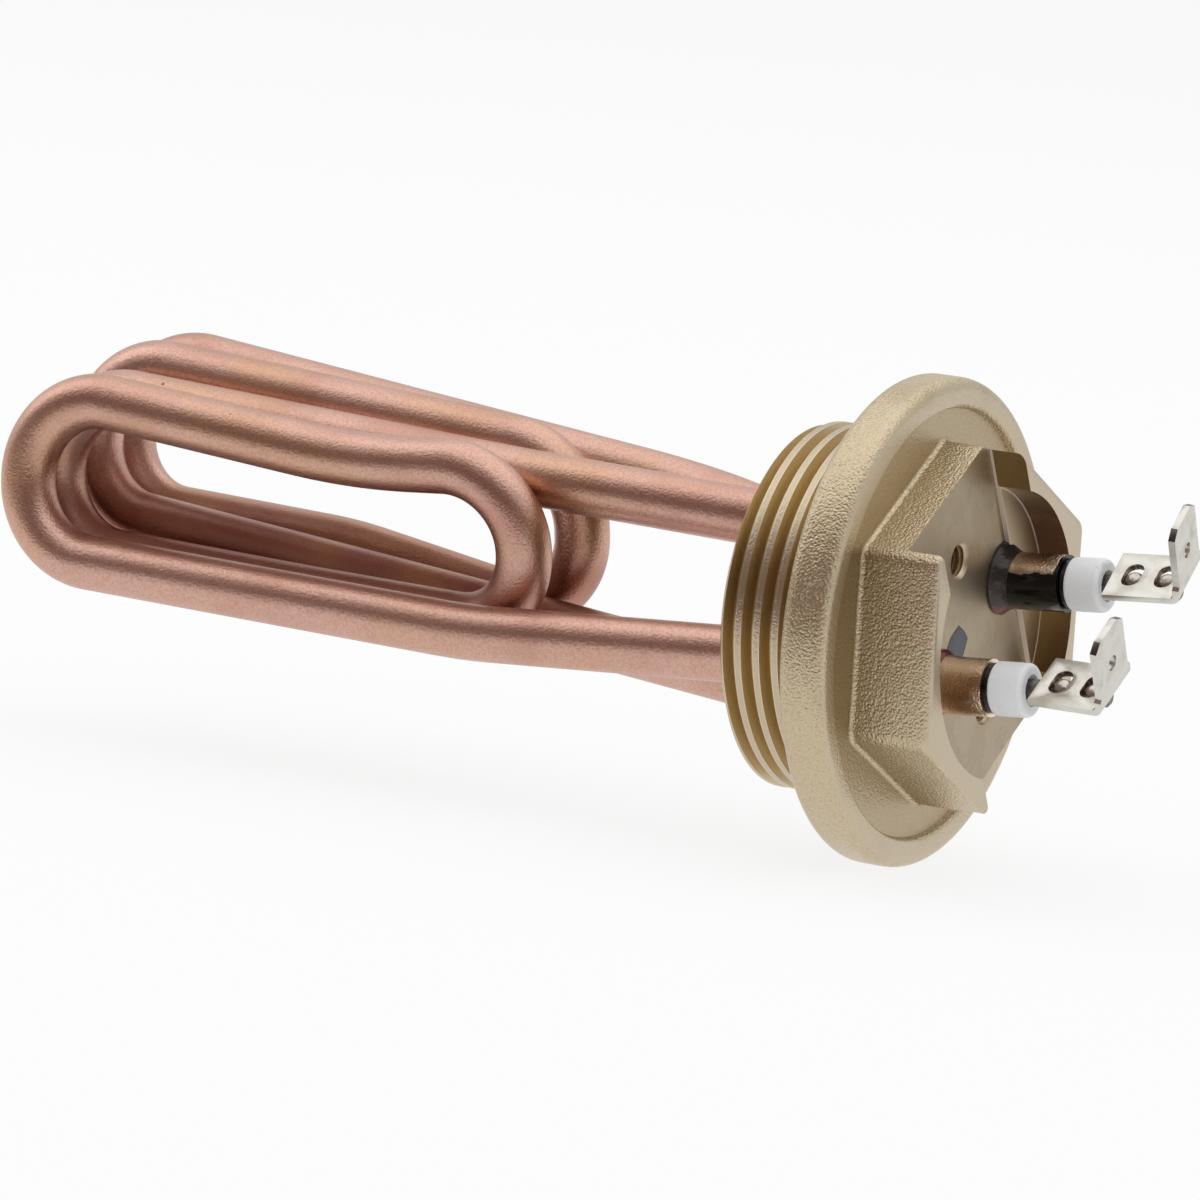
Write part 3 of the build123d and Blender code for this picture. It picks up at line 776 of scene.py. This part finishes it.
def drawn_steel(colours):
    """Drawn steel pin: grey, dull, mottled with darker patches."""
    material, add = new_material("drawn_steel")
    coords = add(COORDS, out="Object")
    wear = add(NOISE, {"Vector": coords, "Scale": 1 / mm(0.7), "Detail": 3.0})
    grey = add(RANGE, {0: wear, 1: 0.25, 2: 0.65}, **SMOOTH)
    tone = add(MIX, {0: grey, 6: linear("#5a5651"), 7: colours.steel}, 2, **RGBA)
    relief = add(BUMP, {"Height": wear, "Distance": mm(0.02)})
    surface = add(BSDF, {"Base Color": tone, "Normal": relief, "Metallic": 1.0,
                         "Roughness": 0.35})
    add(OUTPUT, {"Surface": surface})
    return material


def nickel_plate(colours):
    """Nickel plated steel strip, punched and bent: satin silver faces, brown
    spattered welds in the openings, dark sheared corners."""
    material, add = new_material("nickel_plate")
    coords = add(COORDS, out="Object")
    strip = add(OWN, attribute_name="strip", out="Vector")
    sheared = add(OWN, attribute_name="sheared", out="Fac")
    haze = add(NOISE, {"Vector": coords, "Scale": 1 / mm(2.4), "Detail": 4.0})
    dull = add(RANGE, {0: haze, 1: 0.45, 2: 0.75, 4: 0.5}, **SMOOTH)
    tone = add(MIX, {0: dull, 6: colours.nickel, 7: colours.nickel_dull}, 2, **RGBA)
    height = add(SPLIT, {0: strip}, out="Z")
    sunk = add(RANGE, {0: height, 1: mm(TAB_TOP + 0.02), 2: mm(TAB_TOP - 0.06)}, **SMOOTH)
    flat_at = add(VECTOR, {0: strip, 1: (1, 1, 0)}, **TIMES)
    spatter = add(NOISE, {"Vector": coords, "Scale": 1 / mm(0.55), "Detail": 3.0})
    scale = add(RANGE, {0: spatter, 1: 0.35, 2: 0.6, 3: 0.4, 4: 0.95}, **SMOOTH)
    weld = 0.0
    for along in TAB_WELDS:
        away = add(VECTOR, {0: flat_at, 1: (0, mm(along), 0)}, "Value", **FROM_POINT)
        near = add(RANGE, {0: away, 1: mm(2.3), 2: mm(1.7)}, **SMOOTH)
        rim = add(RANGE, {0: away, 1: mm(0.5), 2: mm(1.3), 3: 0.3}, **SMOOTH)
        near = add(MATH, {0: near, 1: rim}, **TIMES)
        weld = add(MATH, {0: near, 1: weld}, **LARGER)
    weld = add(MATH, {0: weld, 1: sunk}, **TIMES)
    stain = add(MATH, {0: weld, 1: scale}, **TIMES)
    tone = add(MIX, {0: stain, 6: tone, 7: colours.weld}, 2, **RGBA)
    dark = add(MATH, {0: sheared, 1: 0.85}, **TIMES)
    tone = add(MIX, {0: dark, 6: tone, 7: linear("#3b3733")}, 2, **RGBA)
    rough = add(RANGE, {0: haze, 3: 0.26, 4: 0.38})
    lumpy = add(MATH, {0: spatter, 1: weld}, **TIMES)
    relief = add(BUMP, {"Height": lumpy, "Distance": mm(0.25)})
    orange = add(NOISE, {"Vector": coords, "Scale": 1 / mm(0.5), "Detail": 3.0})
    relief = add(BUMP, {"Height": orange, "Distance": mm(0.008), "Normal": relief})
    surface = add(BSDF, {"Base Color": tone, "Roughness": rough, "Normal": relief,
                         "Metallic": 1.0})
    add(OUTPUT, {"Surface": surface})
    return material


def plain_filling(name, tint, size_mm, metallic, roughness):
    """Hidden filling: pressed powder or wound wire, grained but unworn."""
    material, add = new_material(name)
    coords = add(COORDS, out="Object")
    speckle = add(NOISE, {"Vector": coords, "Scale": 1 / mm(size_mm)})
    share = add(RANGE, {0: speckle, 4: 0.3})
    tone = add(MIX, {0: share, 6: tint, 7: linear("#7c7c7c")}, 2, **RGBA)
    relief = add(BUMP, {"Height": speckle, "Distance": mm(0.03)})
    surface = add(BSDF, {"Base Color": tone, "Normal": relief, "Metallic": metallic,
                         "Roughness": roughness})
    add(OUTPUT, {"Surface": surface})
    return material


def sealant_skin(colours):
    """Spilled thermal sealant, cured: dull blue-grey."""
    material, add = new_material("thermal_sealant")
    coords = add(COORDS, out="Object")
    haze = add(NOISE, {"Vector": coords, "Scale": 1 / mm(0.9), "Detail": 3.0})
    tone = add(MIX, {0: haze, 6: colours.sealant, 7: linear("#454750")}, 2, **RGBA)
    relief = add(BUMP, {"Height": haze, "Distance": mm(0.04)})
    surface = add(BSDF, {"Base Color": tone, "Normal": relief, "Roughness": 0.45})
    add(OUTPUT, {"Surface": surface})
    return material


# Pieces.

class HEATER_OT_build_tube(bpy.types.Operator):
    """Build the copper tube along its coil"""

    bl_idname = "heater.build_tube"
    bl_label = "Build tube"

    def execute(self, context):
        sizes = context.scene.heater_sizes
        line = coil_line(sizes.bend_r * 1000)
        curve = bpy.data.curves.new("tube_path", "CURVE")
        curve.dimensions = "3D"
        spline = curve.splines.new("POLY")
        spline.points.add(len(line) - 1)
        turned_down = sizes.stub_d / sizes.tube_d
        for point, place in zip(spline.points, line):
            point.co = (*mm(place), 1)
            over_knee = (place - Vector((KNEE_X, place.y, place.z))).x
            point.radius = turned_down if over_knee > 0.2 else 1.0
        tree, keys = tube_tree()
        material = pickled_copper(context.scene.heater_colours)
        mesh = modified(curve, ("NODES", {
            "node_group": tree,
            keys["Radius"]: sizes.tube_d / 2,
            keys["Sides"]: sizes.tube_sides,
            keys["Material"]: material,
        }))
        smooth_below(mesh, degrees=40)
        new_piece("copper_tube", mesh, material, "tube_copper", "heating_tube")
        return {"FINISHED"}


class HEATER_OT_build_flange(bpy.types.Operator):
    """Tap the holes of the brass flange and add the sealant spot"""

    bl_idname = "heater.build_flange"
    bl_label = "Build flange"

    def execute(self, context):
        sizes = context.scene.heater_sizes
        material = cast_brass(context.scene.heater_colours)
        tree, keys = thread_tree()
        tooth = sizes.m4_pitch * M4_TOOTH
        cutters = []
        for y, z in M4_AT:
            mesh = modified(bpy.data.meshes.new("seed"), ("NODES", {
                "node_group": tree,
                keys["Path radius"]: sizes.m4_core_d / 2 + mm(M4_DEPTH) - tooth,
                keys["Pitch"]: sizes.m4_pitch,
                keys["Turns"]: M4_TURNS,
                keys["Tooth"]: tooth,
                keys["Material"]: material,
            }))
            mesh.transform(Matrix.Translation((mm(FLOOR_X - M4_FROM), mm(y), mm(z)))
                           @ Matrix.Rotation(math.radians(90), 4, "Y"))
            cutters.append(new_object("cutter", mesh))
        mesh = modified(merged_copy("threaded_flange"), *[
            ("BOOLEAN", {"operation": "DIFFERENCE", "solver": "EXACT", "object": cutter})
            for cutter in cutters])
        for cutter in cutters:
            bpy.data.objects.remove(cutter)
        if not mesh.polygons:
            raise RuntimeError("the flange lost its faces while its holes were tapped")
        smooth_below(mesh, degrees=28)
        new_piece("brass_flange", mesh, material, "flange_brass", "threaded_flange")
        self.add_spot(context, sizes)
        return {"FINISHED"}

    def add_spot(self, context, sizes):
        """Thin angular spot of sealant on the recess floor."""
        work = bmesh.new()
        corners = [work.verts.new((mm(FLOOR_X), mm(y), mm(z))) for y, z in SPOT_OUTLINE]
        face = work.faces.new(corners)
        if face.normal.x < 0:
            face.normal_flip()
        lifted = bmesh.ops.extrude_face_region(work, geom=[face])
        risen = [v for v in lifted["geom"] if isinstance(v, bmesh.types.BMVert)]
        bmesh.ops.translate(work, verts=risen, vec=(sizes.spot_t, 0, 0))
        bmesh.ops.recalc_face_normals(work, faces=work.faces)
        mesh = bpy.data.meshes.new("sealant_spot")
        work.to_mesh(mesh)
        work.free()
        finished = modified(mesh, ("BEVEL", {"width": sizes.spot_t * 0.8, "segments": 3}))
        smooth_below(finished, degrees=60)
        new_piece("sealant_spot", finished, sealant_skin(context.scene.heater_colours),
                  "seal_resin")


class HEATER_OT_finish_joints(bpy.types.Operator):
    """Paint the braze joints, seals, bushes and the hidden fillings"""

    bl_idname = "heater.finish_joints"
    bl_label = "Finish joints"

    def execute(self, context):
        colours = context.scene.heater_colours
        alloy = braze_alloy(colours)
        resin = sealing_resin(colours)
        ceramic = steatite(colours)
        for side in SIDES:
            paint("braze_joint_" + side, alloy)
            paint("end_seal_" + side, resin)
            paint("ceramic_bush_" + side, ceramic)
        paint("magnesia_filling",
              plain_filling("magnesia_powder", colours.powder, 0.4, 0.0, 0.9))
        paint("resistance_core",
              plain_filling("resistance_wire", colours.steel, 0.6, 1.0, 0.4))
        return {"FINISHED"}


class HEATER_OT_build_terminals(bpy.types.Operator):
    """Build the plated tabs with rounded edges and paint their pins"""

    bl_idname = "heater.build_terminals"
    bl_label = "Build terminals"

    def execute(self, context):
        colours = context.scene.heater_colours
        plate = nickel_plate(colours)
        steel = drawn_steel(colours)
        for side in SIDES:
            paint("terminal_pin_" + side, steel)
            self.build_tab(context, side, plate)
        return {"FINISHED"}

    def build_tab(self, context, side, plate):
        """Tab from its CAD solid, its punched edges rounded."""
        node_name = "tab_terminal_" + side
        mesh = modified(merged_copy(node_name), ("BEVEL", {
            "width": context.scene.heater_sizes.edge_r,
            "segments": 2,
            "limit_method": "ANGLE",
            "angle_limit": math.radians(40),
        }))
        smooth_below(mesh, degrees=35)
        self.note_strip(mesh, side)
        new_piece("plated_tab_" + side, mesh, plate, "tab_steel", node_name)

    def note_strip(self, mesh, side):
        """Keep where each point lies on the strip, and which faces were sheared."""
        start, width_dir, out_dir, up_dir = tab_frame(side)
        start = mm(start)
        strip = mesh.attributes.new("strip", "FLOAT_VECTOR", "POINT")
        for vert, cell in zip(mesh.vertices, strip.data):
            off = vert.co - start
            cell.vector = (off.dot(width_dir), off.dot(out_dir), off.dot(up_dir))
        sheared = mesh.attributes.new("sheared", "FLOAT", "FACE")
        for face, cell in zip(mesh.polygons, sheared.data):
            slanted = 0.4 < abs(face.normal.dot(width_dir)) < 0.9
            high = (face.center - start).dot(up_dir) > mm(SHEARED_ABOVE)
            broad = face.area > mm(mm(SHEARED_AREA))
            cell.value = float(slanted and high and broad)


class HEATER_OT_set_stage(bpy.types.Operator):
    """Set up floor, light and camera"""

    bl_idname = "heater.set_stage"
    bl_label = "Set stage"

    def execute(self, context):
        colours = context.scene.heater_colours
        self.add_floor(colours)
        self.add_card()
        self.add_world(context)
        self.add_lamps()
        self.add_camera(context)
        context.scene.view_settings.view_transform = "Standard"
        return {"FINISHED"}

    def flat_panel(self, name, width, depth, place, material):
        """Stage rectangle, facing along the given matrix."""
        mesh = bpy.data.meshes.new(name)
        w, d = width / 2, depth / 2
        mesh.from_pydata([(-w, -d, 0), (w, -d, 0), (w, d, 0), (-w, d, 0)], [], [(0, 1, 2, 3)])
        mesh.materials.append(material)
        panel = new_object(name, mesh)
        panel.matrix_world = place
        panel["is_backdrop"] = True
        return panel

    def add_floor(self, colours):
        """Pale table that shows white and keeps a soft shadow."""
        material, add = new_material("stage_floor")
        paper = add("ShaderNodeBsdfDiffuse", {"Color": colours.floor})
        white = add("ShaderNodeEmission", {"Color": WHITE, "Strength": 1.0})
        seen, mirrored = ray_kinds(add)
        seen = add(MATH, {0: seen, 1: FLOOR_SEEN}, **TIMES)
        share = add(MATH, {0: seen, 1: mirrored}, **LARGER)
        mixed = add("ShaderNodeMixShader", {0: share, 1: paper, 2: white})
        add(OUTPUT, {"Surface": mixed})
        place = Matrix.Translation((0, 0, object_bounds()[0][2] - mm(0.2)))
        self.flat_panel("stage_floor", FLOOR_WIDTH, FLOOR_WIDTH, place, material)

    def add_card(self):
        """Dark card leaning back in front of the object, paler toward its top: it
        draws the soft dark band along the tubes and shades the near faces."""
        foot = Vector((0, CARD_FOOT[0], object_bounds()[0][2] + CARD_FOOT[1]))
        top = Vector((0, *CARD_TOP))
        lean = top - foot
        material, add = new_material("stage_card")
        rise = add(SPLIT, {0: add(COORDS, out="Object")}, out="Y")
        fade = add(RANGE, {0: rise, 1: lean.length * 0.05, 2: lean.length / 2}, **SMOOTH)
        tone = add(MIX, {0: fade, 6: linear("#877068"), 7: linear("#aaa19a")}, 2, **RGBA)
        add(OUTPUT, {"Surface": add(BSDF, {"Base Color": tone, "Roughness": 0.9})})
        turn = math.atan2(lean.z, lean.y)
        place = Matrix.Translation((foot + top) / 2) @ Matrix.Rotation(turn, 4, "X")
        card = self.flat_panel("stage_card", CARD_WIDTH, lean.length, place, material)
        card.visible_camera = False
        card.visible_diffuse = False
        card.visible_shadow = False

    def add_world(self, context):
        """Plain studio surround, white where it is seen or mirrored."""
        world = bpy.data.worlds.new("studio")
        world.use_nodes = True
        world.node_tree.nodes.clear()
        add = partial(node, world.node_tree)
        seen, mirrored = ray_kinds(add)
        mirrored = add(MATH, {0: mirrored, 1: WORLD_MIRRORED}, **TIMES)
        seen = add(MATH, {0: seen, 1: mirrored}, **LARGER)
        strength = add(RANGE, {"Value": seen, "To Min": WORLD_STRENGTH, "To Max": 1.0})
        glow = add("ShaderNodeBackground", {"Color": WHITE, "Strength": strength})
        add("ShaderNodeOutputWorld", {"Surface": glow})
        context.scene.world = world

    def add_lamps(self):
        """Large soft overhead light and a weaker one from the left."""
        for name, spot, width, watts in LAMPS:
            lamp = bpy.data.lights.new(name, "AREA")
            lamp.shape = "SQUARE"
            lamp.size = width
            lamp.energy = watts
            holder = new_object(name, lamp)
            holder.location = spot
            holder.rotation_euler = (-Vector(spot)).to_track_quat("-Z", "Y").to_euler()

    def add_camera(self, context):
        """Camera at the photograph's angle and distance."""
        turn, lift, roll = CAMERA_AZIMUTH, CAMERA_ELEVATION, CAMERA_ROLL
        to_camera = Vector((math.sin(turn) * math.cos(lift),
                            -math.cos(turn) * math.cos(lift), math.sin(lift)))
        forward = -to_camera
        right = forward.cross(Vector((0, 0, 1))).normalized()
        up = right.cross(forward)
        right_rolled = right * math.cos(roll) + up * math.sin(roll)
        up_rolled = up * math.cos(roll) - right * math.sin(roll)
        place = (to_camera * CAMERA_DISTANCE - right_rolled * CAMERA_ASIDE
                 + up_rolled * CAMERA_ABOVE)
        lens = bpy.data.cameras.new("camera")
        lens.sensor_width = CAMERA_SENSOR
        lens.lens = CAMERA_FOCAL_PX * CAMERA_SENSOR / PHOTO_PX
        lens.clip_start = 0.05
        lens.clip_end = 50
        camera = new_object("camera", lens)
        turnabout = Matrix((right_rolled, up_rolled, -forward)).transposed().to_4x4()
        camera.matrix_world = Matrix.Translation(mm(place)) @ turnabout
        context.scene.camera = camera


class HEATER_PT_panel(bpy.types.Panel):
    """Sidebar panel with the heater's sizes, colours and pieces"""

    bl_label = "Heating Element"
    bl_idname = "HEATER_PT_panel"
    bl_space_type = "VIEW_3D"
    bl_region_type = "UI"
    bl_category = "Heater"

    def draw(self, context):
        layout = self.layout
        for group in (context.scene.heater_sizes, context.scene.heater_colours):
            box = layout.box()
            for name in group.__annotations__:
                box.prop(group, name)
        for operator in OPERATORS:
            layout.operator(operator.bl_idname)


OPERATORS = (
    HEATER_OT_build_tube,
    HEATER_OT_build_flange,
    HEATER_OT_finish_joints,
    HEATER_OT_build_terminals,
    HEATER_OT_set_stage,
)
CLASSES = (HeaterSizes, HeaterColours, *OPERATORS, HEATER_PT_panel)


def register():
    for each in CLASSES:
        bpy.utils.register_class(each)
    bpy.types.Scene.heater_sizes = bpy.props.PointerProperty(type=HeaterSizes)
    bpy.types.Scene.heater_colours = bpy.props.PointerProperty(type=HeaterColours)


def unregister():
    del bpy.types.Scene.heater_colours
    del bpy.types.Scene.heater_sizes
    for each in reversed(CLASSES):
        bpy.utils.unregister_class(each)


def main():
    """Register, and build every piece."""
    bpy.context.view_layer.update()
    register()
    bpy.ops.heater.build_tube()
    bpy.ops.heater.build_flange()
    bpy.ops.heater.finish_joints()
    bpy.ops.heater.build_terminals()
    bpy.ops.heater.set_stage()
    bpy.context.view_layer.update()


if __name__ == "__main__":
    main()
